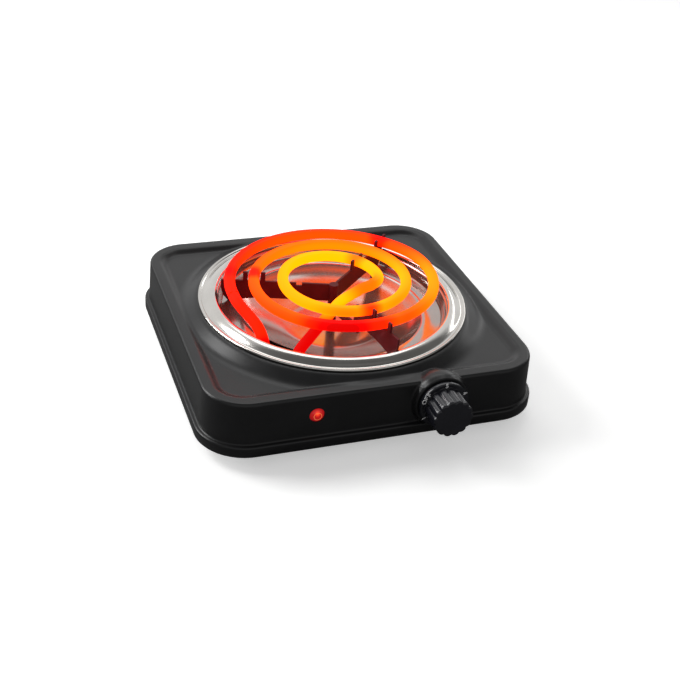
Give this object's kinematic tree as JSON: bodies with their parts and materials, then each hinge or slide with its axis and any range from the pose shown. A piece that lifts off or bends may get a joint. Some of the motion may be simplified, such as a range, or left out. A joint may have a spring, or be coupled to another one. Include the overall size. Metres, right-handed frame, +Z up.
{
  "type": "hot plate burner",
  "caption": "Square black single burner hot plate with a tubular spiral coil on a three arm support over a chrome ringed drip bowl, a front knob and a red indicator.",
  "frame": {"origin": "bottom centre of the whole object's box, knob and inlet bush included, at the bottom of the feet", "axes": "+Z up, -Y towards the front with the knob, +X to the right seen from the front"},
  "size_m": [0.23, 0.2408, 0.0662],
  "materials": {
    "black_enamel": "semi-gloss black powder coat",
    "zinc_steel": "zinc plated sheet",
    "chrome_ring": "bright rolled chrome",
    "polished_bowl": "polished bare steel",
    "hot_sheath": "glowing tube sheath",
    "arm_steel": "heat darkened steel",
    "rubber_black": "matt",
    "knob_black": "moulded phenolic, gloss",
    "brass_part": "machined",
    "plain_steel": "plain",
    "shield_aluminium": "mill finish",
    "white_ceramic": "unglazed steatite",
    "red_lens": "clear red",
    "lamp_glass": "clear",
    "white_plastic": "moulded",
    "black_plastic": "moulded",
    "brown_sleeve": "silicone sleeve",
    "blue_sleeve": "silicone sleeve",
    "green_sleeve": "silicone sleeve",
    "silver_contact": "silver alloy",
    "cam_plastic": "phenolic"
  },
  "bodies": {
    "base": {"block_screws": "plain_steel", "body_shell": "black_enamel", "bolt_washer": "plain_steel", "bottom_plate": "zinc_steel", "bush_nut": "plain_steel", "centre_bolt": "plain_steel", "coil_bracket": "zinc_steel", "contacts": "silver_contact", "corner_posts": "zinc_steel", "drip_bowl": "polished_bowl", "earth_lead": "green_sleeve", "earth_stud": "plain_steel", "fixed_leaf": "brass_part", "foot_front_left": "rubber_black", "foot_front_right": "rubber_black", "foot_rear_left": "rubber_black", "foot_rear_right": "rubber_black", "foot_screws": "plain_steel", "heat_shield": "shield_aluminium", "heating_coil": "hot_sheath", "hub_post": "arm_steel", "indicator_lens": "red_lens", "inlet_bush": "black_plastic", "inlet_clip": "plain_steel", "lamp_leads": "brown_sleeve", "lamp_plug": "black_plastic", "leaf_spacer": "white_ceramic", "leg_bush_inner": "white_ceramic", "leg_bush_outer": "white_ceramic", "leg_tab_inner": "plain_steel", "leg_tab_outer": "plain_steel", "lens_clip": "plain_steel", "line_lead": "brown_sleeve", "load_lead": "brown_sleeve", "lower_spacer": "plain_steel", "moving_leaf": "brass_part", "neon_lamp": "lamp_glass", "neutral_lead": "blue_sleeve", "spindle_bush": "brass_part", "support_arm_front": "arm_steel", "support_arm_left": "arm_steel", "support_arm_rear": "arm_steel", "switch_base": "white_ceramic", "switch_frame": "zinc_steel", "switch_tabs": "brass_part", "terminal_block": "white_plastic", "trim_ring": "chrome_ring", "upper_spacer": "plain_steel"},
    "knob": {"knob": "knob_black", "knob_insert": "brass_part", "spindle": "plain_steel", "switch_cam": "cam_plastic", "spindle_clip": "plain_steel"},
    "plunger": {"plunger": "white_ceramic"}
  },
  "joints": [
    {"name": "knob_turn", "type": "hinge", "parent": "base", "child": "knob", "pos_m": [0.0371, -0.10068, 0.0329], "axis": [0, -1, 0], "range_deg": [0, 300]},
    {"name": "plunger_slide", "type": "slide", "parent": "base", "child": "plunger", "axis": [0, 0, 1], "range_m": [0, 0.001]}
  ],
  "couplings": [
    {"joint": "plunger_slide", "follows": "knob_turn", "m_per_rad": 0.00019098}
  ]
}
